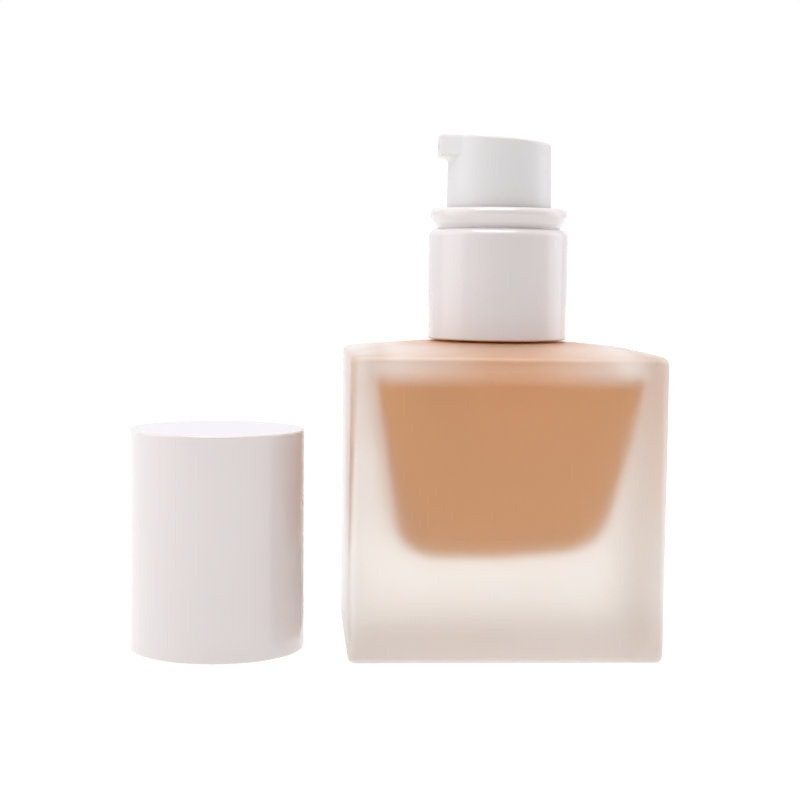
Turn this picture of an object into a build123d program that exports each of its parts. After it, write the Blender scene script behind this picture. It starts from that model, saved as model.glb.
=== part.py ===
from build123d import *
import os

# Foundation bottle: a thick square glass bottle with a treatment pump, and its overcap
# standing beside it. Millimetres, +Z up, origin at the centre of the bottle's underside,
# on the pump's axis. The wide front face looks towards -Y and the spout points to -X.

# ---- shared ----
run_gap = 0.05
weld = 1.0            # how far solids that join into one run into each other
pump_to_liquid = 0.3  # gap round the pump's wet pieces
liquid_to_glass = 0.1

# ---- glass bottle ----
body_width = 50.0
body_depth = 40.0
wall_top = 47.1
seat_top = 50.1
seat_radius = 10.6
seat_flat = 0.2        # leaves a short straight in the seat's outline for the loft to follow
side_edge_radius = 1.3
base_edge_radius = 1.1

# Cavity sections, bottom to roof: width, depth, corner radius, height.
cavity_floor = (33.0, 23.0, 8.0, 15.0)
cavity_brow = (42.4, 32.4, 4.5, 44.3)
cavity_shoulder = (35.0, 25.6, 7.0, 47.2)
cavity_roof = (13.0, 12.8, 6.2, 48.2)
cavity_floor_rounding = 7.5

# Sections above the walls, a rounded edge and then the crown: width, depth, corner radius, height.
crown_foot = (47.6, 37.5, 3.2, 48.5)
crown_edge_sections = [
    (body_width, body_depth, side_edge_radius, wall_top),
    (49.8, 39.8, 1.45, 47.6),
    (49.1, 39.1, 2.0, 48.05),
    crown_foot,
]
crown_sections = [
    crown_foot,
    (34.0, 30.0, 10.0, 49.5),
    (2 * seat_radius, 2 * seat_radius - seat_flat, seat_radius - seat_flat, seat_top),
]

# ---- neck, an 18-410 screw finish ----
neck_height = 13.3
neck_radius = 7.875
neck_bore_radius = 5.25
neck_top = seat_top + neck_height
thread_pitch = 3.175
thread_bottom = seat_top + 6.0
neck_thread_radius = 8.94
neck_thread_turns = 1.5
closure_thread_radius = 8.05
closure_thread_turns = 1.2
closure_thread_drop = thread_pitch / 2 - 0.3
thread_root_half = 0.78
thread_crest_half = 0.42
thread_bite = 0.2       # depth of the rib inside the wall it stands on

# ---- pump engine, which hangs in the neck ----
gasket_inner_radius = 5.0
flange_bottom = neck_top + 0.6
flange_top = flange_bottom + 1.2
flange_radius = 8.2
housing_radius = 4.7
housing_bore_radius = 3.7
housing_top = 66.9
housing_ledge = 46.1
housing_taper_top = 44.9
housing_taper_bottom = 43.4
socket_radius = 3.0
socket_bottom = 37.4
tube_top = 41.6
tube_bottom = 16.1
tube_radius = 1.8
tube_bore_radius = 1.1
ball_chamber_radius = 1.75
ball_seat_radius = 0.6
ball_seat = 42.4
ball_radius = 1.25
ball_centre = 43.65
nub_count = 3
nub_bottom = 45.6
nub_reach = 0.8
nub_width = 0.6
vent_radius = 0.4
vent_height = 60.9
retainer_bottom = 61.5
retainer_top = 67.6
retainer_radius = 4.9

# ---- stroke parts ----
piston_lag = 0.8
stem_radius = 2.0
stem_bore_radius = 1.1
stem_bottom = 56.0
stem_top = 78.0
stem_collar_radius = 3.1
stem_collar_top = retainer_bottom - run_gap
stem_collar_bottom = stem_collar_top - 0.6
stem_slot_width = 0.8
stem_slot_height = 1.2
piston_bottom = stem_bottom + run_gap
piston_top = stem_collar_bottom - piston_lag - run_gap
piston_radius = housing_bore_radius - run_gap
piston_waist_radius = 3.1
piston_lip = 0.8
core_flange_radius = 2.9
core_flange_bottom = 54.8
core_post_radius = 1.5
core_post_bottom = 52.4
core_plug_top = 59.2
core_plug_width = 1.3
spring_wire_radius = 0.25
spring_radius = 2.45
spring_coils = 6
spring_end_gap = 0.02

# ---- screw closure and its outer shell ----
closure_radius = 10.35
closure_bore_radius = 9.1
closure_bottom = 51.0
closure_plate_bottom = flange_top + run_gap
closure_top = closure_plate_bottom + 1.2
closure_hole_radius = 5.7
collar_radius = 11.5
collar_bottom = 50.4
collar_shoulder = 68.5
collar_shoulder_rounding = 1.2
collar_foot_rounding = 0.3
groove_radius = 10.25
groove_top = 68.8
rim_flare = (10.85, 69.5)
rim_radius = 11.3
rim_widest = 70.5
rim_top = 71.9
rim_flare_rounding = 2.5
rim_side_rounding = 1.4
rim_edge_rounding = 0.9
collar_pocket_radius = 9.1
collar_mouth_radius = 8.95
collar_mouth_depth = 1.1

# ---- pump head ----
head_bottom = 70.9
head_top = 84.0        # at the spout's tip
head_back_top = 82.5
head_base_radius = 8.65
head_crown_radius = 8.42
head_bore_radius = 7.4
head_ceiling = 80.4
head_edge_rounding = 0.4
spout_tip = -10.1
spout_half_width = 2.4
spout_root = (-5.5, 6.1)
spout_bottom = 80.3
spout_corner_rounding = 0.7
spout_lip_rounding = 0.4
spout_blend = 1.0
insert_bottom = 72.3
insert_radius = 3.3
insert_disc_thickness = 1.2
stem_socket_gap = 0.03
stem_socket_radius = stem_radius + stem_socket_gap
channel_height = 82.0
channel_radius = 0.8
nozzle_radius = 1.25
nozzle_inner_end = -7.9
orifice_radius = 0.6

# ---- overcap, standing on its mouth beside the bottle ----
cap_centre = (-46.0, -5.5)
cap_radius = 14.3
cap_crown_radius = 14.12
cap_height = 35.7
cap_bore_radius = 12.85
cap_ceiling = 34.3
cap_edge_rounding = 0.45
cap_mouth_rounding = 0.2
liner_radius = 11.75
liner_upper_radius = 12.0
liner_bottom = 0.5
liner_step = 17.4
liner_top = 24.0
bead_height = 18.3
bead_radius = 11.15
bead_half_height = 0.5
bead_count = 6
bead_angle = 24.0


def disc(radius, bottom, top):
    return extrude(Pos(0, 0, bottom) * Circle(radius), top - bottom)


def ring(outer, inner, bottom, top):
    return disc(outer, bottom, top) - disc(inner, bottom, top)


def turned(points, roundings=(), angle=360.0):
    """Revolve a closed (radius, height) outline; roundings pairs outline points with radii."""
    outline = make_face(Polyline(*points, close=True))
    for point, radius in roundings:
        corner = outline.vertices().sort_by_distance((*point, 0))[0]
        outline = fillet(corner, radius)
    return revolve(Plane.XZ * outline, Axis.Z, angle)


def rounded_section(width, depth, corner, height):
    return Pos(0, 0, height) * RectangleRounded(width, depth, corner)


def thread_rib(root_radius, crest_radius, start, turns):
    """Right-hand helical rib whose centreline passes through angle 0 at the start height."""
    path = Helix(thread_pitch, thread_pitch * turns, root_radius, center=(0, 0, start))
    section = make_face(Polyline(
        (root_radius, 0, start - thread_root_half),
        (crest_radius, 0, start - thread_crest_half),
        (crest_radius, 0, start + thread_crest_half),
        (root_radius, 0, start + thread_root_half),
        close=True,
    ))
    return sweep(section, path=path, is_frenet=True)


def cavity_section(section, inset, lift=0.0):
    width, depth, corner, height = section
    return rounded_section(width - 2 * inset, depth - 2 * inset, corner - inset, height + lift)


def cavity(inset=0.0):
    """Inside of the glass below the neck bore: round floor, walls that lean out, hipped roof."""
    floor = cavity_section(cavity_floor, inset, inset)
    brow = cavity_section(cavity_brow, inset, -inset)
    shoulder = cavity_section(cavity_shoulder, inset, -inset)
    roof = cavity_section(cavity_roof, inset, -inset)
    bowl = loft([floor, brow])
    bowl = fillet(bowl.edges().group_by(Axis.Z)[0], cavity_floor_rounding)
    return bowl + loft([brow, shoulder]) + loft([shoulder, roof])


def glass_bottle():
    block = extrude(Rectangle(body_width, body_depth), wall_top)
    block = fillet(block.edges().filter_by(Axis.Z), side_edge_radius)
    body = fillet(block.edges().group_by(Axis.Z)[0], base_edge_radius)
    for sections in (crown_edge_sections, crown_sections):
        body += loft([rounded_section(*section) for section in sections])
    neck = disc(neck_radius, seat_top - weld, neck_top)
    rib = thread_rib(neck_radius - thread_bite, neck_thread_radius, thread_bottom, neck_thread_turns)
    bore = disc(neck_bore_radius, cavity_roof[3] - weld, neck_top)
    return body + neck + rib - cavity() - bore


def foundation_fill():
    """Liquid up to the foot of the neck bore, with room for the pump and its tube."""
    liquid = cavity(inset=liquid_to_glass)
    for radius, bottom in [
        (housing_radius, housing_taper_bottom),
        (socket_radius, socket_bottom),
        (tube_radius, tube_bottom),
    ]:
        liquid -= disc(radius + pump_to_liquid, bottom - pump_to_liquid, seat_top)
    return liquid


def neck_gasket():
    return ring(neck_radius, gasket_inner_radius, neck_top, flange_bottom)


def pump_housing():
    """Flanged cylinder with a breather hole, ball chamber, cone seat and dip-tube socket."""
    seat_cone_top = ball_seat + ball_chamber_radius - ball_seat_radius
    body = turned([
        (housing_bore_radius, housing_top),
        (retainer_radius, housing_top),
        (retainer_radius, flange_top),
        (flange_radius, flange_top),
        (flange_radius, flange_bottom),
        (housing_radius, flange_bottom),
        (housing_radius, housing_taper_top),
        (socket_radius, housing_taper_bottom),
        (socket_radius, socket_bottom),
        (tube_radius, socket_bottom),
        (tube_radius, tube_top),
        (ball_seat_radius, tube_top),
        (ball_seat_radius, ball_seat),
        (ball_chamber_radius, seat_cone_top),
        (ball_chamber_radius, housing_ledge),
        (housing_bore_radius, housing_ledge),
    ])
    vent = Pos(0, 0, vent_height) * Rot(0, 90, 0) * Cylinder(
        vent_radius, 2 * housing_radius, align=(Align.CENTER, Align.CENTER, Align.MIN)
    )
    nub = Pos(ball_chamber_radius, 0, nub_bottom) * Box(
        2 * nub_reach, nub_width, housing_ledge - nub_bottom,
        align=(Align.CENTER, Align.CENTER, Align.MIN),
    )
    for turn in range(nub_count):
        body += Rot(0, 0, turn * 360 / nub_count) * nub
    return body - vent


def housing_retainer():
    plug = disc(housing_bore_radius, retainer_bottom, housing_top)
    head = disc(retainer_radius, housing_top, retainer_top)
    return plug + head - disc(stem_radius + run_gap, retainer_bottom, retainer_top)


def dip_tube():
    return ring(tube_radius, tube_bore_radius, tube_bottom, tube_top)


def ball_valve():
    return Pos(0, 0, ball_centre) * Sphere(ball_radius)


def stem():
    """Hollow rod with a stop collar; cross slots at its foot let the liquid in."""
    rod = disc(stem_radius, stem_bottom, stem_top)
    stop = disc(stem_collar_radius, stem_collar_bottom, stem_collar_top)
    slot = Pos(0, 0, stem_bottom) * Box(
        3 * stem_radius, stem_slot_width, stem_slot_height,
        align=(Align.CENTER, Align.CENTER, Align.MIN),
    )
    bore = disc(stem_bore_radius, stem_bottom, stem_top)
    return rod + stop - bore - slot - Rot(0, 0, 90) * slot


def piston():
    bore = stem_radius + run_gap
    return turned([
        (bore, piston_bottom),
        (piston_radius, piston_bottom),
        (piston_radius, piston_bottom + piston_lip),
        (piston_waist_radius, piston_bottom + 1.5 * piston_lip),
        (piston_waist_radius, piston_top - 1.5 * piston_lip),
        (piston_radius, piston_top - piston_lip),
        (piston_radius, piston_top),
        (bore, piston_top),
    ])


def piston_core():
    """Foot of the stem: valve flange, spring post, and a flat-sided plug the liquid flows past."""
    flange = disc(core_flange_radius, core_flange_bottom, stem_bottom)
    post = disc(core_post_radius, core_post_bottom, core_flange_bottom)
    plug = disc(stem_bore_radius, stem_bottom, core_plug_top)
    flats = Pos(0, 0, stem_bottom) * Box(
        3 * stem_bore_radius, core_plug_width, core_plug_top - stem_bottom,
        align=(Align.CENTER, Align.CENTER, Align.MIN),
    )
    return post + flange + (plug & flats)


def return_spring():
    end_gap = spring_wire_radius + spring_end_gap
    start = housing_ledge + end_gap
    height = core_flange_bottom - end_gap - start
    path = Helix(height / spring_coils, height, spring_radius, center=(0, 0, start))
    wire = Plane(origin=path @ 0, z_dir=path % 0) * Circle(spring_wire_radius)
    return sweep(wire, path=path, is_frenet=True)


def threaded_closure():
    wall = ring(closure_radius, closure_bore_radius, closure_bottom, closure_plate_bottom)
    plate = ring(closure_radius, closure_hole_radius, closure_plate_bottom, closure_top)
    rib = thread_rib(closure_bore_radius + thread_bite, closure_thread_radius,
                     thread_bottom - closure_thread_drop, closure_thread_turns)
    return wall + plate + rib


def collar_shell():
    """Gloss sleeve over the closure: straight skirt, snap groove, flared rim, guide mouth."""
    return turned([
        (closure_radius, collar_bottom),
        (collar_radius, collar_bottom),
        (collar_radius, collar_shoulder),
        (groove_radius, collar_shoulder),
        (groove_radius, groove_top),
        rim_flare,
        (rim_radius, rim_widest),
        (rim_radius, rim_top),
        (collar_mouth_radius, rim_top),
        (collar_mouth_radius, rim_top - collar_mouth_depth),
        (collar_pocket_radius, rim_top - collar_mouth_depth),
        (collar_pocket_radius, closure_top),
        (closure_radius, closure_top),
    ], roundings=[
        ((collar_radius, collar_bottom), collar_foot_rounding),
        ((collar_radius, collar_shoulder), collar_shoulder_rounding),
        (rim_flare, rim_flare_rounding),
        ((rim_radius, rim_widest), rim_side_rounding),
        ((rim_radius, rim_top), rim_edge_rounding),
    ])


def spout():
    """Lip whose sides run in from the barrel to the tip."""
    root_x, root_y = spout_root
    plan = make_face(Polyline(
        (spout_tip, spout_half_width),
        (root_x, root_y),
        (0, 0),
        (root_x, -root_y),
        (spout_tip, -spout_half_width),
        close=True,
    ))
    lip = extrude(Pos(0, 0, spout_bottom) * plan, head_top - spout_bottom)
    corners = lip.edges().filter_by(Axis.Z).group_by(Axis.X)[0]
    lip = fillet(corners, spout_corner_rounding)
    foot = lip.edges().group_by(Axis.Z)[0].filter_by(lambda edge: edge.center().X < spout_root[0])
    return fillet(foot, spout_lip_rounding)


def head_envelope():
    """Outside of the pump head: drafted barrel, lip spout, flat top that falls to the back."""
    barrel = turned([
        (0, head_bottom),
        (head_base_radius, head_bottom),
        (head_crown_radius, head_top),
        (0, head_top),
    ])
    back = head_base_radius + weld
    above_top = make_face(Polyline(
        (spout_tip, head_top),
        (head_base_radius, head_back_top),
        (back, head_back_top),
        (back, head_top + weld),
        (spout_tip, head_top + weld),
        close=True,
    ))
    head = barrel + spout()
    joins = [edge for edge in head.edges().filter_by(GeomType.BSPLINE) if edge.center().X < spout_root[0]]
    head = fillet(joins, spout_blend) - extrude(Plane.XZ * above_top, back, both=True)
    return fillet(head.faces().sort_by(Axis.Z)[-1].edges(), head_edge_rounding)


def liquid_channel():
    """Passage from the stem's bore to the nozzle."""
    rise = disc(stem_bore_radius, stem_top, channel_height)
    run = Pos(0, 0, channel_height) * Rot(0, -90, 0) * Cylinder(
        channel_radius, -spout_tip, align=(Align.CENTER, Align.CENTER, Align.MIN)
    )
    return rise + run


def nozzle_seat(radius):
    return Pos(nozzle_inner_end, 0, channel_height) * Rot(0, -90, 0) * Cylinder(
        radius, nozzle_inner_end - spout_tip, align=(Align.CENTER, Align.CENTER, Align.MIN)
    )


def actuator_shell():
    hollow = disc(head_bore_radius, head_bottom, head_ceiling)
    return head_envelope() - hollow - liquid_channel() - nozzle_seat(nozzle_radius)


def actuator_core():
    """Stem socket on a disc that closes the head's ceiling."""
    socket = disc(insert_radius, insert_bottom, head_ceiling)
    web = disc(head_bore_radius, head_ceiling - insert_disc_thickness, head_ceiling)
    bore = disc(stem_socket_radius, insert_bottom, stem_top + run_gap)
    return socket + web - bore - disc(stem_bore_radius, stem_top, head_ceiling)


def nozzle_insert():
    return nozzle_seat(nozzle_radius) - nozzle_seat(orifice_radius)


def cap_shell():
    body = turned([
        (cap_bore_radius, 0),
        (cap_radius, 0),
        (cap_crown_radius, cap_height),
        (0, cap_height),
        (0, cap_ceiling),
        (cap_bore_radius, cap_ceiling),
    ], roundings=[
        ((cap_radius, 0), cap_mouth_rounding),
        ((cap_crown_radius, cap_height), cap_edge_rounding),
    ])
    return Pos(*cap_centre, 0) * body


def cap_liner():
    """Inner sleeve that grips the collar, with snap beads for the collar's groove."""
    sleeve = turned([
        (liner_radius, liner_bottom),
        (cap_bore_radius, liner_bottom),
        (cap_bore_radius, liner_top),
        (liner_upper_radius, liner_top),
        (liner_upper_radius, liner_step),
        (liner_radius, liner_step),
    ])
    bead = turned([
        (bead_radius, bead_height),
        (cap_bore_radius, bead_height - 2 * bead_half_height),
        (cap_bore_radius, bead_height + 2 * bead_half_height),
    ], angle=bead_angle)
    for turn in range(bead_count):
        sleeve += Rot(0, 0, turn * 360 / bead_count) * bead
    return Pos(*cap_centre, 0) * sleeve


nodes = [
    glass_bottle, foundation_fill,
    neck_gasket, pump_housing, housing_retainer, dip_tube, ball_valve,
    stem, piston, piston_core, return_spring,
    threaded_closure, collar_shell,
    actuator_shell, actuator_core, nozzle_insert,
    cap_shell, cap_liner,
]

os.makedirs("parts", exist_ok=True)
for make_node in nodes:
    export_step(make_node(), f"parts/{make_node.__name__}.step")
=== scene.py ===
import math

import bmesh
import bpy
import numpy as np
from mathutils import Matrix, Vector


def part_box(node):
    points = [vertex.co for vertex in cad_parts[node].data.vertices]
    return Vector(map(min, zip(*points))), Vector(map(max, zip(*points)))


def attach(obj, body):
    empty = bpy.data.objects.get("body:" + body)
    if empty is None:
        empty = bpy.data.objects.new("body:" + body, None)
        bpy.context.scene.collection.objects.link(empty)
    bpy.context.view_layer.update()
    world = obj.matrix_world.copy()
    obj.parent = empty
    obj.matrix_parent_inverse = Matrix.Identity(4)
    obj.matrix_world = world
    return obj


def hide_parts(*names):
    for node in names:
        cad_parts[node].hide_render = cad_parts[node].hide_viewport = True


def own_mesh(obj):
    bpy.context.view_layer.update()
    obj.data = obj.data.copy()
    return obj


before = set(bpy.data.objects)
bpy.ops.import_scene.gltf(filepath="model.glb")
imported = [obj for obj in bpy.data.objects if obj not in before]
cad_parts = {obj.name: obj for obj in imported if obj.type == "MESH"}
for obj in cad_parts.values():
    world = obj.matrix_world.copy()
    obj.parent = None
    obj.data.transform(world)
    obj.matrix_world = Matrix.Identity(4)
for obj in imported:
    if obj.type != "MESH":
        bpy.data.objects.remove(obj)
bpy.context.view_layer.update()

MM = 0.001


# ---------------------------------------------------------------- mesh helpers

def corner_dense_angles(corner_angle, spread, coarse, fine):
    """Directions round the axis, in radians, packed close together at the corners of the glass."""
    first = np.concatenate([
        np.linspace(0, corner_angle - spread, coarse, endpoint=False),
        np.linspace(corner_angle - spread, corner_angle + spread, fine, endpoint=False),
        np.linspace(corner_angle + spread, 90, coarse, endpoint=False),
    ])
    return np.radians(np.concatenate([
        first, [90], 180 - first[1:][::-1], 180 + first, [270], 360 - first[1:][::-1],
    ]))


BOTTLE_ANGLES = corner_dense_angles(38.66, 3.6, 22, 30)
ROUND_ANGLES = np.linspace(0, 2 * math.pi, 256, endpoint=False)


def quarter(steps):
    """Angles of a quarter turn."""
    return [math.pi / 2 * k / steps for k in range(steps + 1)]


def round_ring(radius, z, angles=ROUND_ANGLES, centre=(0.0, 0.0)):
    return np.stack([centre[0] + radius * np.cos(angles), centre[1] + radius * np.sin(angles),
                     z + np.zeros_like(angles)], 1)


def box_ring(width, depth, corner, z):
    """Rounded rectangle met along fixed directions from the axis."""
    angles = BOTTLE_ANGLES
    a, b = width / 2, depth / 2
    r = min(corner, a, b)
    c, s = np.abs(np.cos(angles)), np.abs(np.sin(angles))
    c, s = np.maximum(c, 1e-9), np.maximum(s, 1e-9)
    cx, cy = a - r, b - r
    along = c * cx + s * cy
    arc = along + np.sqrt(np.maximum(along ** 2 - cx ** 2 - cy ** 2 + r ** 2, 0))
    rho = np.where(a / c * s <= cy, a / c, np.where(b / s * c <= cx, b / s, arc))
    return np.stack([rho * np.cos(angles), rho * np.sin(angles), z + np.zeros_like(angles)], 1)


def skin(name, rings, closed=False, materials=(), material_of_ring=None):
    """Join a stack of rings, in millimetres, into one smooth mesh; closed joins last to first."""
    n = len(rings[0])
    count = len(rings)
    material_of_ring = material_of_ring or [0] * count
    verts = np.concatenate(rings) * MM
    faces, face_material = [], []
    for i in range(count if closed else count - 1):
        j = (i + 1) % count
        for k in range(n):
            k2 = (k + 1) % n
            faces.append((i * n + k, i * n + k2, j * n + k2, j * n + k))
            face_material.append(material_of_ring[i])
    if not closed:
        faces.append(tuple(range(n - 1, -1, -1)))
        faces.append(tuple((count - 1) * n + k for k in range(n)))
        face_material += [material_of_ring[0], material_of_ring[-1]]
    mesh = bpy.data.meshes.new(name)
    mesh.from_pydata(verts.tolist(), [], faces)
    for m in materials:
        mesh.materials.append(m)
    mesh.polygons.foreach_set("material_index", face_material)
    bm = bmesh.new()
    bm.from_mesh(mesh)
    bmesh.ops.remove_doubles(bm, verts=bm.verts, dist=2e-6)
    bmesh.ops.dissolve_degenerate(bm, edges=bm.edges, dist=1e-6)
    bmesh.ops.recalc_face_normals(bm, faces=bm.faces)
    for face in bm.faces:
        face.smooth = True
    bm.to_mesh(mesh)
    bm.free()
    obj = bpy.data.objects.new(name, mesh)
    bpy.context.scene.collection.objects.link(obj)
    return obj


def rounded_outline(points, radii, steps=8, support=0.12):
    """Round corners of a closed (radius, height) outline, with support points beside each arc."""
    out = []
    count = len(points)
    for i, point in enumerate(points):
        p = Vector(point)
        radius = radii.get(i, 0.0)
        if radius <= 0:
            out.append((p.x, p.y))
            continue
        before = Vector(points[i - 1]) - p
        after = Vector(points[(i + 1) % count]) - p
        before_unit, after_unit = before.normalized(), after.normalized()
        half = before_unit.angle(after_unit) / 2
        reach = radius / math.tan(half)
        centre = p + (before_unit + after_unit).normalized() * (radius / math.sin(half))
        start, end = p + before_unit * reach, p + after_unit * reach
        a0 = math.atan2(start.y - centre.y, start.x - centre.x)
        a1 = math.atan2(end.y - centre.y, end.x - centre.x)
        turn = (a1 - a0 + math.pi) % (2 * math.pi) - math.pi
        if before.length > reach + 2 * support:
            out.append(tuple(start + before_unit * support))
        for s in range(steps + 1):
            a = a0 + turn * s / steps
            out.append((centre.x + radius * math.cos(a), centre.y + radius * math.sin(a)))
        if after.length > reach + 2 * support:
            out.append(tuple(end + after_unit * support))
    return out


def turned(name, outline, centre=(0.0, 0.0), **how):
    """Solid of revolution from a closed (radius, height) outline."""
    return skin(name, [round_ring(max(r, 1e-4), z, centre=centre) for r, z in outline],
                closed=True, **how)


# ---------------------------------------------------------------- materials

def new_material(name):
    mat = bpy.data.materials.new(name)
    mat.use_nodes = True
    nodes = mat.node_tree.nodes
    nodes.clear()
    out = nodes.new("ShaderNodeOutputMaterial")
    bsdf = nodes.new("ShaderNodeBsdfPrincipled")
    mat.node_tree.links.new(bsdf.outputs["BSDF"], out.inputs["Surface"])
    return mat, nodes, mat.node_tree.links, bsdf


def noise(nodes, links, scale, detail=3.0):
    """Noise in object space, in metres, so that its scale is the real one."""
    coords = nodes.new("ShaderNodeTexCoord")
    tex = nodes.new("ShaderNodeTexNoise")
    tex.inputs["Scale"].default_value = scale
    tex.inputs["Detail"].default_value = detail
    links.new(coords.outputs["Object"], tex.inputs["Vector"])
    return tex.outputs["Fac"]


def spread(nodes, links, source, low, high, start=0.35, end=0.65):
    """Map start..end to low..high and hold it there beyond; the default is the middle of a noise."""
    node = nodes.new("ShaderNodeMapRange")
    node.inputs["From Min"].default_value = start
    node.inputs["From Max"].default_value = end
    node.inputs["To Min"].default_value = low
    node.inputs["To Max"].default_value = high
    links.new(source, node.inputs["Value"])
    return node.outputs["Result"]


def varied(nodes, links, source, middle, reach):
    """A value that wanders about a middle one, by at most its reach."""
    return spread(nodes, links, source, middle - reach, middle + reach)


def combined(nodes, links, operation, a, b):
    """One math node; a and b are numbers or sockets."""
    node = nodes.new("ShaderNodeMath")
    node.operation = operation
    for socket, value in zip(node.inputs, (a, b)):
        if isinstance(value, float):
            socket.default_value = value
        else:
            links.new(value, socket)
    return node.outputs["Value"]


def blended(nodes, links, factor, a, b):
    """Colour a where the factor is 0, b where it is 1; a is a colour or a socket."""
    node = nodes.new("ShaderNodeMix")
    node.data_type = "RGBA"
    if isinstance(a, tuple):
        node.inputs["A"].default_value = (*a, 1)
    else:
        links.new(a, node.inputs["A"])
    node.inputs["B"].default_value = (*b, 1)
    links.new(factor, node.inputs["Factor"])
    return node.outputs["Result"]


def two_tone(nodes, links, source, colour_a, colour_b):
    ramp = nodes.new("ShaderNodeValToRGB")
    ramp.color_ramp.elements[0].position = 0.3
    ramp.color_ramp.elements[1].position = 0.7
    ramp.color_ramp.elements[0].color = (*colour_a, 1)
    ramp.color_ramp.elements[1].color = (*colour_b, 1)
    links.new(source, ramp.inputs["Fac"])
    return ramp.outputs["Color"]


def bump(nodes, links, bsdf, source, height):
    node = nodes.new("ShaderNodeBump")
    node.inputs["Strength"].default_value = 1.0
    node.inputs["Distance"].default_value = height
    links.new(source, node.inputs["Height"])
    links.new(node.outputs["Normal"], bsdf.inputs["Normal"])


CLOUD_SCALE = 55.0
FINE_SCALE = 900.0
PLASTIC_IOR = 1.5
PLASTIC_COAT_ROUGHNESS = 0.12
SCATTER_COLOUR = (1.0, 0.85, 0.75)
SCATTER_REACH = 0.0012


def plastic(name, colour_a, colour_b, rough, rough_spread, ripple_scale, ripple_height,
            coat=0.0, subsurface=0.0):
    """Moulded plastic: faint clouds of colour, fine roughness, ripple from the mould."""
    mat, nodes, links, bsdf = new_material(name)
    cloud = noise(nodes, links, CLOUD_SCALE, detail=4.0)
    fine = noise(nodes, links, FINE_SCALE, detail=2.0)
    ripple = noise(nodes, links, ripple_scale, detail=2.0)
    links.new(two_tone(nodes, links, cloud, colour_a, colour_b), bsdf.inputs["Base Color"])
    links.new(varied(nodes, links, fine, rough, rough_spread), bsdf.inputs["Roughness"])
    bump(nodes, links, bsdf, ripple, ripple_height)
    bsdf.inputs["IOR"].default_value = PLASTIC_IOR
    bsdf.inputs["Coat Weight"].default_value = coat
    bsdf.inputs["Coat Roughness"].default_value = PLASTIC_COAT_ROUGHNESS
    bsdf.inputs["Subsurface Weight"].default_value = subsurface
    bsdf.inputs["Subsurface Radius"].default_value = SCATTER_COLOUR
    bsdf.inputs["Subsurface Scale"].default_value = SCATTER_REACH
    return mat


GLASS_IOR = 1.5
GLASS_ABSORBS_TO = (0.75, 0.685, 0.61)
GLASS_DENSITY = 15.0


def glass(name, rough, rough_spread):
    """Absorbing glass with a slightly uneven roughness; its haze and colour are set by the caller."""
    mat, nodes, links, bsdf = new_material(name)
    cloud = noise(nodes, links, 130.0)
    links.new(varied(nodes, links, cloud, rough, rough_spread), bsdf.inputs["Roughness"])
    bsdf.inputs["IOR"].default_value = GLASS_IOR
    bsdf.inputs["Coat Roughness"].default_value = 0.28
    absorb = nodes.new("ShaderNodeVolumeAbsorption")
    absorb.inputs["Color"].default_value = (*GLASS_ABSORBS_TO, 1)
    absorb.inputs["Density"].default_value = GLASS_DENSITY
    links.new(absorb.outputs["Volume"], nodes["Material Output"].inputs["Volume"])
    return mat, nodes, links, bsdf


def clear_glass(name):
    mat, nodes, links, bsdf = glass(name, 0.04, 0.01)
    bsdf.inputs["Base Color"].default_value = (0.97, 0.965, 0.96, 1)
    bsdf.inputs["Transmission Weight"].default_value = 1.0
    bsdf.inputs["Coat Weight"].default_value = 0.0
    return mat


# Places on the glass, in metres: heights of the shoulder, distances from the middle plane.
SHOULDER_RISE = (0.0430, 0.0460)
SEAT_RISE = (0.0494, 0.0501)
FOOT_RISE = (0.0005, 0.0075)
CROWN_MIDDLE = (0.0030, 0.0170)
LIQUID_EDGE = (0.0185, 0.0235)
SIDE_WALL = (0.0205, 0.0245)

HAZE_FACING = 0.04
HAZE_SLANTED = 0.36
HAZE_CROWN_MIDDLE = 0.26
HAZE_CROWN_ENDS = 0.52
HAZE_SIDES = 0.27
HAZE_FOOT = 0.252

PALE_GLASS = (0.99, 0.965, 0.945)
# Painted light: warm tint standing in for light that the liquid sends up into the middle of the
# crown.
PAINTED_LIQUID_GLOW = (1.0, 0.86, 0.71)
# Painted light: deep orange standing in for the liquid's light glowing through the seat in the
# collar's shadow.
PAINTED_GLOW_UNDER_COLLAR = (1.0, 0.56, 0.24)


def etched_haze(nodes, links, across, height):
    """White share of the etched skin: more at a slant, on the crown, beside and below the liquid."""
    slant = nodes.new("ShaderNodeLayerWeight")
    slant.inputs["Blend"].default_value = 0.5
    by_slant = spread(nodes, links, slant.outputs["Facing"], HAZE_FACING, HAZE_SLANTED, 0.35, 0.9)
    on_shoulder = spread(nodes, links, height, 0.0, 1.0, *SHOULDER_RISE)
    crown = spread(nodes, links, across, HAZE_CROWN_MIDDLE, HAZE_CROWN_ENDS, *CROWN_MIDDLE)
    over_liquid = spread(nodes, links, across, 1.0, 0.0, *LIQUID_EDGE)
    crown = combined(nodes, links, "MULTIPLY", on_shoulder, crown)
    crown = combined(nodes, links, "MULTIPLY", crown, over_liquid)
    sides = spread(nodes, links, across, HAZE_FACING, HAZE_SIDES, *SIDE_WALL)
    foot = spread(nodes, links, height, HAZE_FOOT, HAZE_FACING, *FOOT_RISE)
    haze = by_slant
    for part in (crown, sides, foot):
        haze = combined(nodes, links, "MAXIMUM", haze, part)
    return haze


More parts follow.
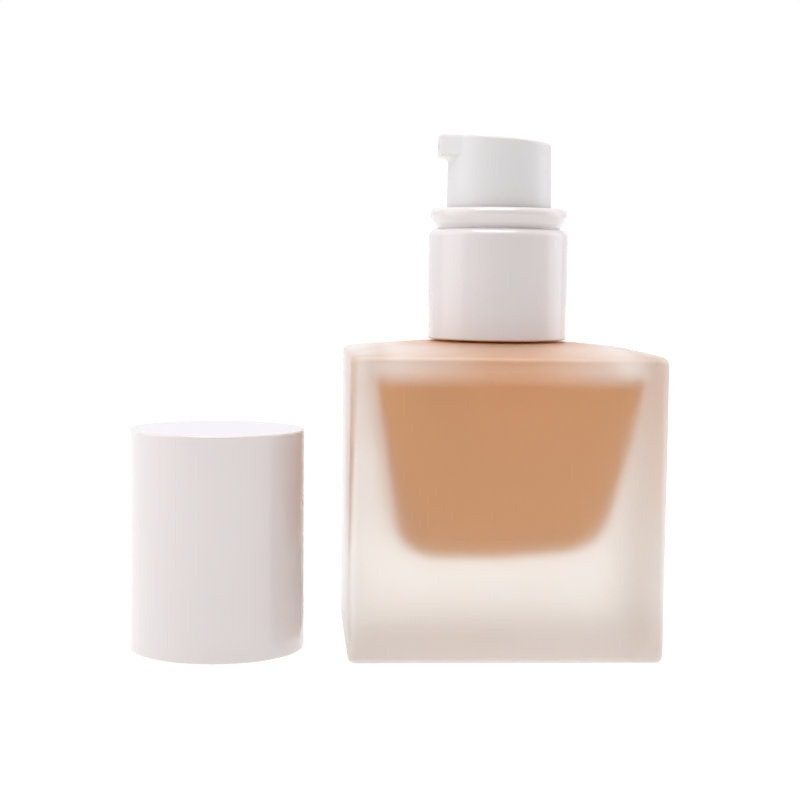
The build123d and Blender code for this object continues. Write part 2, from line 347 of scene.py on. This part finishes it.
def frosted_glass(name):
    """Etched glass; painted light: a warm glow painted on the middle of the crown, in place of light
    the liquid sends up, and an orange glow painted on the seat under the collar.
    """
    mat, nodes, links, bsdf = glass(name, 0.50, 0.03)
    grain = noise(nodes, links, 2600.0, detail=2.0)
    bump(nodes, links, bsdf, grain, 0.000004)
    coords = nodes.new("ShaderNodeTexCoord")
    place = nodes.new("ShaderNodeSeparateXYZ")
    links.new(coords.outputs["Object"], place.inputs["Vector"])
    across = combined(nodes, links, "ABSOLUTE", place.outputs["X"], 0.0)
    height = place.outputs["Z"]
    haze = etched_haze(nodes, links, across, height)
    links.new(combined(nodes, links, "SUBTRACT", 1.0, haze), bsdf.inputs["Transmission Weight"])
    # Painted light: the middle of the shoulder crown is tinted with the liquid's warm colour,
    # standing in for light the liquid sends up into the glass.
    in_middle = spread(nodes, links, across, 1.0, 0.0, *CROWN_MIDDLE)
    on_shoulder = spread(nodes, links, height, 0.0, 1.0, *SHOULDER_RISE)
    painted_glow_share = combined(nodes, links, "MULTIPLY", in_middle, on_shoulder)
    colour = blended(nodes, links, painted_glow_share, PALE_GLASS, PAINTED_LIQUID_GLOW)
    # Painted light: the seat under the collar is tinted deep orange, standing in for the liquid's
    # light glowing in the collar's shadow.
    painted_seat_glow_share = spread(nodes, links, height, 0.0, 1.0, *SEAT_RISE)
    colour = blended(nodes, links, painted_seat_glow_share, colour, PAINTED_GLOW_UNDER_COLLAR)
    links.new(colour, bsdf.inputs["Base Color"])
    bsdf.inputs["Coat Weight"].default_value = 0.5
    return mat


def cream(name):
    mat, nodes, links, bsdf = new_material(name)
    cloud = noise(nodes, links, 90.0, detail=4.0)
    colour = two_tone(nodes, links, cloud, (0.86, 0.410, 0.122), (0.89, 0.430, 0.137))
    links.new(colour, bsdf.inputs["Base Color"])
    bump(nodes, links, bsdf, noise(nodes, links, 160.0, detail=2.0), 0.00003)
    bsdf.inputs["Roughness"].default_value = 0.45
    bsdf.inputs["IOR"].default_value = 1.42
    return mat


def metal(name, colour, rough, grain_scale):
    mat, nodes, links, bsdf = new_material(name)
    grain = noise(nodes, links, grain_scale)
    bsdf.inputs["Base Color"].default_value = (*colour, 1)
    bsdf.inputs["Metallic"].default_value = 1.0
    links.new(spread(nodes, links, grain, rough * 0.8, rough * 1.2), bsdf.inputs["Roughness"])
    bump(nodes, links, bsdf, grain, 0.000004)
    return mat


FROSTED = frosted_glass("frosted_glass")
CLEAR = clear_glass("clear_glass")
CREAM = cream("foundation_cream")
GLOSS_WHITE = plastic("gloss_white_plastic", (0.745, 0.69, 0.685), (0.76, 0.705, 0.70),
                      0.14, 0.02, 420.0, 0.000006, coat=1.0, subsurface=0.15)
SATIN_WHITE = plastic("satin_white_plastic", (0.725, 0.705, 0.71), (0.74, 0.72, 0.725),
                      0.32, 0.03, 700.0, 0.000008, coat=0.3, subsurface=0.15)
CLOSURE_PLASTIC = plastic("closure_plastic", (0.76, 0.76, 0.75), (0.79, 0.79, 0.78),
                          0.42, 0.05, 500.0, 0.00001, subsurface=0.1)
NATURAL_PLASTIC = plastic("natural_plastic", (0.72, 0.73, 0.70), (0.77, 0.77, 0.74),
                          0.38, 0.05, 600.0, 0.00001, subsurface=0.3)
TUBE_PLASTIC = plastic("tube_plastic", (0.74, 0.75, 0.72), (0.79, 0.79, 0.77),
                       0.30, 0.04, 300.0, 0.000015, subsurface=0.4)
SEAL_PLASTIC = plastic("seal_plastic", (0.78, 0.78, 0.74), (0.82, 0.82, 0.79),
                       0.50, 0.05, 500.0, 0.00001, subsurface=0.3)
SOFT_SEAL = plastic("soft_seal", (0.66, 0.66, 0.62), (0.74, 0.74, 0.70),
                    0.70, 0.08, 1500.0, 0.00003)
STEEL = metal("bright_steel", (0.66, 0.66, 0.67), 0.22, 900.0)


# ---------------------------------------------------------------- glass bottle

glass_low, glass_high = (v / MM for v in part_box("glass_bottle"))
width, depth = glass_high.x - glass_low.x, glass_high.y - glass_low.y
neck_top = glass_high.z

# Sections are (width, depth, corner radius, height), in millimetres.
WALL_TOP = 48.1
SEAT_TOP = 50.1
SEAT_RADIUS = 10.6
SEAT_FILLET = 0.7
SIDE_EDGE = 1.3
BASE_EDGE = 1.1
BASE_SHARES = (0.03, 0.35, 0.7, 0.9, 0.97)
WALL_HEIGHTS = (BASE_EDGE + 0.3, 6.0, 14.0, 24.0, 34.0)
BEND_START = 40.0
CROWN = [(width, depth, SIDE_EDGE, WALL_TOP), (47.6, 37.2, 3.4, 48.6), (34.0, 30.0, 10.0, 49.5),
         (2 * SEAT_RADIUS, 2 * SEAT_RADIUS, SEAT_RADIUS, SEAT_TOP)]
CAVITY_FLOOR = (33.0, 23.0, 8.0, 15.3)
CAVITY_BROW = (42.4, 32.4, 4.5, 44.3)
CAVITY_SHOULDER = (35.0, 25.6, 7.0, 47.2)
CAVITY_ROOF = (13.0, 12.8, 6.2, 48.2)
CAVITY_FLOOR_ROUNDING = 6.3
CAVITY_FLOOR_TRIMS = (7.0, 5.0, 2.5, 0.8)
CLEAR_OF_LIQUID = 0.1
LEFT_LEAN = 0.2
RIGHT_LEAN = 0.9
FLOOR_SLOPE = 0.085
NECK_RADIUS = 7.875
NECK_BORE = 5.25
LIP_ROUNDING = 0.4
BORE_CHAMFER = 0.3
THREAD_RADIUS = 8.94
THREAD_PITCH = 3.175
THREAD_START = SEAT_TOP + 6.0
THREAD_TURNS = 1.5
THREAD_ROOT_HALF = 0.78
THREAD_CREST_HALF = 0.42
THREAD_STEP = 0.14
THREAD_RUN_OUT = 0.25


def hermite(sections, samples):
    """Smooth path through a few ring sections."""
    p = np.array(sections, float)
    m = np.gradient(p, axis=0)
    m[0] = p[1] - p[0]
    m[-1] = p[-1] - p[-2]
    out = []
    for i in range(len(p) - 1):
        for t in np.linspace(0, 1, samples, endpoint=(i == len(p) - 2)):
            h = (2 * t ** 3 - 3 * t ** 2 + 1, t ** 3 - 2 * t ** 2 + t,
                 -2 * t ** 3 + 3 * t ** 2, t ** 3 - t ** 2)
            out.append(h[0] * p[i] + h[1] * m[i] + h[2] * p[i + 1] + h[3] * m[i + 1])
    return np.array(out)


def evened(path, step):
    """Resample a section path at even steps of travel along its side."""
    travel = np.hypot(np.diff(path[:, 0]) / 2, np.diff(path[:, 3]))
    s = np.concatenate([[0], np.cumsum(travel)])
    even = np.linspace(0, s[-1], max(2, int(round(s[-1] / step)) + 1))
    return np.stack([np.interp(even, s, path[:, k]) for k in range(path.shape[1])], 1)


def averaged(path, window):
    """Round the bends of an evenly stepped path, in two passes."""
    kernel = np.ones(window) / window
    for _ in range(2):
        first, last = np.repeat(path[:1], window, 0), np.repeat(path[-1:], window, 0)
        padded = np.concatenate([first, path, last])
        path = np.stack([np.convolve(column, kernel, "same") for column in padded.T], 1)
        path = path[window:-window]
    return path


def neck_ring(z):
    """Neck outline at a height, with the helical thread standing out of it."""
    angles = BOTTLE_ANGLES
    turn = 2 * math.pi
    radius = np.full_like(angles, NECK_RADIUS)
    for lap in range(int(THREAD_TURNS) + 1):
        along = angles + turn * lap
        centre = THREAD_START + THREAD_PITCH * along / turn
        off = np.abs(z - centre)
        rise = np.clip((THREAD_ROOT_HALF - off) / (THREAD_ROOT_HALF - THREAD_CREST_HALF), 0, 1)
        rise = rise * rise * (3 - 2 * rise)
        run_in = np.clip(along / THREAD_RUN_OUT, 0, 1)
        run_out = np.clip((turn * THREAD_TURNS - along) / THREAD_RUN_OUT, 0, 1)
        ends = run_in * run_out
        radius = np.maximum(radius, NECK_RADIUS + (THREAD_RADIUS - NECK_RADIUS) * rise * ends)
    return np.stack([radius * np.cos(angles), radius * np.sin(angles), np.full_like(angles, z)], 1)


def between(low, high, count):
    """Straight walls between two sections, given as a list of sections."""
    low, high = np.array(low), np.array(high)
    return [tuple(low + (high - low) * t) for t in np.linspace(0, 1, count)]


def settled(ring):
    """Unevenness of the pressed glass: the brow leans and the floor rises a little to the right."""
    x, z = ring[:, 0], ring[:, 2]
    floor, brow, roof = CAVITY_FLOOR[3], CAVITY_BROW[3], CAVITY_ROOF[3]
    up = np.interp(z, [floor, brow, roof - 0.3], [0.0, 1.0, 0.0])
    lean = np.interp(x, [-15.0, 15.0], [LEFT_LEAN, RIGHT_LEAN])
    rise = FLOOR_SLOPE * np.maximum(x, 0) * np.interp(z, [floor, floor + 12.0], [1.0, 0.0])
    return np.stack([x + up * lean, ring[:, 1], z + rise], 1)


def cavity_rings(inset):
    """Inside of the glass from the middle of its rounded floor up to the neck."""
    lean = math.atan2((CAVITY_BROW[0] - CAVITY_FLOOR[0]) / 2, CAVITY_BROW[3] - CAVITY_FLOOR[3])
    reach = CAVITY_FLOOR_ROUNDING / math.tan((math.pi / 2 + lean) / 2)
    w, d, r, z = CAVITY_FLOOR
    sections = [(w - 2 * reach - s, d - 2 * reach - s, max(r - reach - s / 2, 0.5), z)
                for s in CAVITY_FLOOR_TRIMS]
    for a in np.linspace(0, math.pi / 2 - lean, 16):
        trim = reach - CAVITY_FLOOR_ROUNDING * math.sin(a)
        sections.append((w - 2 * trim, d - 2 * trim, max(r - trim, 0.8),
                         z + CAVITY_FLOOR_ROUNDING * (1 - math.cos(a))))
    share = (sections[-1][3] - z) / (CAVITY_BROW[3] - z)
    low, high = np.array(CAVITY_FLOOR), np.array(CAVITY_BROW)
    sections += between(low + (high - low) * share, CAVITY_BROW, 12)[1:]
    sections += between(CAVITY_BROW, CAVITY_SHOULDER, 6)[1:]
    sections += between(CAVITY_SHOULDER, CAVITY_ROOF, 6)[1:]
    rings = []
    for w, d, r, z in sections:
        corner = r - inset if r > inset + 0.3 else r
        height = z + inset if z < CAVITY_BROW[3] - 1 else z - inset
        rings.append(settled(box_ring(w - 2 * inset, d - 2 * inset, corner, height)))
    return rings


def bottle_rings():
    """Closed stack of rings: base, walls, crown, neck, lip, bore and the inside of the cavity."""
    outer, inner = [], []
    base_width, base_depth = width - 2 * BASE_EDGE, depth - 2 * BASE_EDGE
    for s in BASE_SHARES:
        outer.append(box_ring(base_width * s, base_depth * s, SIDE_EDGE * s, 0.0))
    for a in quarter(10):
        inset = BASE_EDGE * (1 - math.sin(a))
        outer.append(box_ring(width - 2 * inset, depth - 2 * inset,
                              max(SIDE_EDGE - inset, 0.25), BASE_EDGE * (1 - math.cos(a))))
    for z in WALL_HEIGHTS:
        outer.append(box_ring(width, depth, SIDE_EDGE, z))
    wall = [(width, depth, SIDE_EDGE, z) for z in np.linspace(BEND_START, WALL_TOP, 60)]
    upper = averaged(evened(np.concatenate([wall, hermite(CROWN, 40)[1:]]), 0.1), 13)
    for section in upper[::2]:
        outer.append(box_ring(*section))
    for a in quarter(6):
        outer.append(round_ring(NECK_RADIUS + SEAT_FILLET * (1 - math.sin(a)),
                                SEAT_TOP + SEAT_FILLET * (1 - math.cos(a)), BOTTLE_ANGLES))
    for z in np.arange(SEAT_TOP + 1.0, neck_top - 0.5, THREAD_STEP):
        outer.append(neck_ring(z))
    for a in quarter(6):
        outer.append(round_ring(NECK_RADIUS - LIP_ROUNDING * (1 - math.cos(a)),
                                neck_top - LIP_ROUNDING * (1 - math.sin(a)), BOTTLE_ANGLES))
    outer.append(round_ring(NECK_BORE + BORE_CHAMFER, neck_top, BOTTLE_ANGLES))
    outer.append(round_ring(NECK_BORE, neck_top - BORE_CHAMFER, BOTTLE_ANGLES))
    for z in np.linspace(neck_top - 1, CAVITY_ROOF[3] + 0.4, 8):
        inner.append(round_ring(NECK_BORE, z, BOTTLE_ANGLES))
    inner += cavity_rings(CLEAR_OF_LIQUID)[::-1]
    return outer, inner


outer_rings, inner_rings = bottle_rings()
bottle = skin("bottle_glass", outer_rings + inner_rings, materials=(FROSTED, CLEAR),
              material_of_ring=[0] * len(outer_rings) + [1] * len(inner_rings))
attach(bottle, "bottle")
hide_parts("glass_bottle")


# ---------------------------------------------------------------- liquid

# Outlines below are (radius, height), in millimetres.
FILM_TOP = 53.0
FILM_OVERLAP = 0.02
PUMP_WELL = [(4.85, 43.1), (3.3, 43.1), (3.3, 37.1), (2.1, 37.1), (2.1, 15.9)]


def liquid_rings():
    """Skin of the liquid, sunk a little into the glass that it wets, with the well round the pump."""
    wetted = NECK_BORE + FILM_OVERLAP
    film = [(wetted, CAVITY_ROOF[3]), (wetted, FILM_TOP), (PUMP_WELL[0][0], FILM_TOP)]
    return cavity_rings(0.0) + [round_ring(r, z, BOTTLE_ANGLES) for r, z in film + PUMP_WELL]


liquid = skin("foundation_liquid", liquid_rings(), materials=(CREAM,))
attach(liquid, "bottle")
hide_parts("foundation_fill")


# ---------------------------------------------------------------- collar and overcap

COLLAR_BORE = 10.35
COLLAR_SHOULDER = 68.5
GROOVE_FLOOR = 10.25
GROOVE_TOP = 68.8
RIM_FLARE = (10.85, 69.5)
RIM_RADIUS = 11.3
RIM_WIDEST = 70.5
MOUTH_RADIUS = 8.95
POCKET_RADIUS = 9.1
POCKET_TOP = 70.8
CLOSURE_TOP = 66.45
COLLAR_ROUNDINGS = {1: 0.3, 2: 1.2, 5: 2.5, 6: 1.4, 7: 0.9, 8: 0.2}

collar_low, collar_high = (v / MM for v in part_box("collar_shell"))
collar_radius = collar_high.x
collar_outline = rounded_outline([
    (COLLAR_BORE, collar_low.z),
    (collar_radius, collar_low.z),
    (collar_radius, COLLAR_SHOULDER),
    (GROOVE_FLOOR, COLLAR_SHOULDER),
    (GROOVE_FLOOR, GROOVE_TOP),
    RIM_FLARE,
    (RIM_RADIUS, RIM_WIDEST),
    (RIM_RADIUS, collar_high.z),
    (MOUTH_RADIUS, collar_high.z),
    (MOUTH_RADIUS, POCKET_TOP),
    (POCKET_RADIUS, POCKET_TOP),
    (POCKET_RADIUS, CLOSURE_TOP),
    (COLLAR_BORE, CLOSURE_TOP),
], COLLAR_ROUNDINGS, support=0.04)
collar = turned("collar", collar_outline, materials=(GLOSS_WHITE,))
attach(collar, "closure")
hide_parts("collar_shell")

CAP_BORE = 12.85
CAP_CEILING = 34.3
CAP_CROWN_RADIUS = 14.12
CAP_ROUNDINGS = {2: 0.4, 3: 0.15, 4: 0.25, 5: 0.4}

cap_low, cap_high = (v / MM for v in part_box("cap_shell"))
cap_centre = ((cap_low.x + cap_high.x) / 2, (cap_low.y + cap_high.y) / 2)
cap_radius = (cap_high.x - cap_low.x) / 2
cap_outline = rounded_outline([
    (0.0, cap_high.z),
    (0.0, CAP_CEILING),
    (CAP_BORE, CAP_CEILING),
    (CAP_BORE, 0.0),
    (cap_radius, 0.0),
    (CAP_CROWN_RADIUS, cap_high.z),
], CAP_ROUNDINGS)
cap = turned("overcap", cap_outline, centre=cap_centre, materials=(GLOSS_WHITE,))
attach(cap, "overcap")
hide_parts("cap_shell")


# ---------------------------------------------------------------- return spring

SPRING_COILS = 6
SPRING_WIRE = 0.25      # radius of the wire
CLOSED_END = 0.9        # turns over which the coils open
CLOSED_PACE = 0.42      # pitch at the ends, as a share of the open pitch


def spring_rings(low, high):
    """Round wire wound into coils that close up at both ends."""
    turns = np.linspace(0, SPRING_COILS, SPRING_COILS * 36 + 1)
    open_share = np.clip(np.minimum(turns, SPRING_COILS - turns) / CLOSED_END, 0, 1)
    pace = CLOSED_PACE + (1 - CLOSED_PACE) * open_share ** 2 * (3 - 2 * open_share)
    climb = np.concatenate([[0.0], np.cumsum((pace[1:] + pace[:-1]) / 2)])
    heights = low.z + SPRING_WIRE + (high.z - low.z - 2 * SPRING_WIRE) * climb / climb[-1]
    coil_radius = (high.x - low.x) / 2 - SPRING_WIRE
    section = np.linspace(0, 2 * math.pi, 16, endpoint=False)
    rings = []
    for turn, height in zip(turns, heights):
        r = coil_radius + SPRING_WIRE * np.cos(section)
        z = height + SPRING_WIRE * np.sin(section)
        a = 2 * math.pi * turn
        rings.append(np.stack([r * math.cos(a), r * math.sin(a), z], 1))
    return rings


spring_low, spring_high = (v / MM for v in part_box("return_spring"))
spring = skin("pump_spring", spring_rings(spring_low, spring_high), materials=(STEEL,))
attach(spring, "stroke")
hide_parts("return_spring")
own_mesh(spring)


# ---------------------------------------------------------------- carried-over CAD nodes

NODE_MATERIALS = {
    "neck_gasket": SOFT_SEAL,
    "pump_housing": NATURAL_PLASTIC,
    "housing_retainer": NATURAL_PLASTIC,
    "dip_tube": TUBE_PLASTIC,
    "ball_valve": STEEL,
    "stem": NATURAL_PLASTIC,
    "piston": SEAL_PLASTIC,
    "piston_core": NATURAL_PLASTIC,
    "threaded_closure": CLOSURE_PLASTIC,
    "actuator_shell": SATIN_WHITE,
    "actuator_core": NATURAL_PLASTIC,
    "nozzle_insert": SATIN_WHITE,
    "cap_liner": CLOSURE_PLASTIC,
}
for node, mat in NODE_MATERIALS.items():
    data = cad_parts[node].data
    data.materials.clear()
    data.materials.append(mat)


# ---------------------------------------------------------------- studio

def stage_plane(name, size, z, material):
    mesh = bpy.data.meshes.new(name)
    h = size / 2
    mesh.from_pydata([(-h, -h, z), (h, -h, z), (h, h, z), (-h, h, z)], [], [(0, 1, 2, 3)])
    mesh.materials.append(material)
    obj = bpy.data.objects.new(name, mesh)
    bpy.context.scene.collection.objects.link(obj)


def floor_material():
    """Pale ground that glows a little, so that it meets the white backdrop without an edge."""
    mat, _, _, bsdf = new_material("studio_floor")
    bsdf.inputs["Base Color"].default_value = (0.30, 0.30, 0.30, 1)
    bsdf.inputs["Roughness"].default_value = 0.9
    bsdf.inputs["Specular IOR Level"].default_value = 0.0
    bsdf.inputs["Emission Color"].default_value = (1.0, 1.0, 1.0, 1)
    bsdf.inputs["Emission Strength"].default_value = 0.82
    return mat


FLOOR_SIZE = 6.0
FLOOR_HEIGHT = -0.00004
stage_plane("studio_floor", FLOOR_SIZE, FLOOR_HEIGHT, floor_material())

AWAY_FROM_DARK_SIDE = (-0.14, 0.990, 0.0)
DARK_SIDE_LEVEL = 0.02
BRIGHT_SIDE_LEVEL = 0.96
OVERHEAD_GAIN = 0.05
LOW_SKY = (0.955, 0.945, 1.0)
HIGH_SKY = (1.0, 0.995, 0.985)
BACKDROP_LEVEL = 1.02


def dot(nodes, links, direction, vector):
    node = nodes.new("ShaderNodeVectorMath")
    node.operation = "DOT_PRODUCT"
    node.inputs[1].default_value = vector
    links.new(direction, node.inputs[0])
    return node.outputs["Value"]


def studio_world():
    """White to the camera; for light, a soft gradient that is brightest behind and above."""
    world = bpy.data.worlds.new("studio")
    bpy.context.scene.world = world
    world.use_nodes = True
    nodes, links = world.node_tree.nodes, world.node_tree.links
    nodes.clear()
    out = nodes.new("ShaderNodeOutputWorld")
    seen = nodes.new("ShaderNodeBackground")
    seen.inputs["Color"].default_value = (1, 1, 1, 1)
    seen.inputs["Strength"].default_value = BACKDROP_LEVEL
    lit = nodes.new("ShaderNodeBackground")
    direction = nodes.new("ShaderNodeTexCoord").outputs["Generated"]
    away = dot(nodes, links, direction, AWAY_FROM_DARK_SIDE)
    level = spread(nodes, links, away, DARK_SIDE_LEVEL, BRIGHT_SIDE_LEVEL, -1.0, 0.0)
    overhead = dot(nodes, links, direction, (0.0, 0.0, OVERHEAD_GAIN))
    links.new(combined(nodes, links, "ADD", level, overhead), lit.inputs["Strength"])
    height = nodes.new("ShaderNodeSeparateXYZ")
    links.new(direction, height.inputs["Vector"])
    rise = spread(nodes, links, height.outputs["Z"], 0.0, 1.0, 0.10, 0.60)
    links.new(blended(nodes, links, rise, LOW_SKY, HIGH_SKY), lit.inputs["Color"])
    path = nodes.new("ShaderNodeLightPath")
    mix = nodes.new("ShaderNodeMixShader")
    links.new(path.outputs["Is Camera Ray"], mix.inputs["Fac"])
    links.new(lit.outputs["Background"], mix.inputs[1])
    links.new(seen.outputs["Background"], mix.inputs[2])
    links.new(mix.outputs["Shader"], out.inputs["Surface"])


studio_world()


def area_light(name, location, target, size, power):
    """White rectangular softbox; places and sizes in metres, power in watts."""
    light = bpy.data.lights.new(name, "AREA")
    light.shape = "RECTANGLE"
    light.size, light.size_y = size
    light.energy = power
    obj = bpy.data.objects.new(name, light)
    bpy.context.scene.collection.objects.link(obj)
    obj.location = location
    direction = Vector(target) - Vector(location)
    obj.rotation_euler = direction.to_track_quat("-Z", "Y").to_euler()


area_light("top", (-0.06, -0.22, 0.68), (0, 0, 0.04), (0.6, 0.5), 2.9)
area_light("left", (-0.61, -0.02, 0.16), (0, 0, 0.05), (0.50, 0.6), 0.50)
area_light("right", (0.59, 0.14, 0.16), (0, 0, 0.05), (0.44, 0.6), 0.50)

# Camera place in millimetres, angles in degrees.
CAMERA_PLACE = (-34.086, -278.14, 60.787)
CAMERA_YAW = -3.716
CAMERA_PITCH = -4.255
CAMERA_ROLL = 0.708
FOCAL_PIXELS = 1677.0
IMAGE_WIDTH = 800.0

camera_data = bpy.data.cameras.new("camera")
camera_data.sensor_width = 36.0
camera_data.lens = FOCAL_PIXELS / IMAGE_WIDTH * camera_data.sensor_width
camera_data.clip_start = 0.01
camera_data.clip_end = 50.0
camera = bpy.data.objects.new("camera", camera_data)
bpy.context.scene.collection.objects.link(camera)
camera.matrix_world = (
    Matrix.Translation(Vector(CAMERA_PLACE) * MM)
    @ Matrix.Rotation(math.radians(CAMERA_YAW), 4, "Z")
    @ Matrix.Rotation(math.radians(90 + CAMERA_PITCH), 4, "X")
    @ Matrix.Rotation(math.radians(CAMERA_ROLL), 4, "Z")
)
bpy.context.scene.camera = camera
bpy.context.scene.view_settings.view_transform = "Standard"
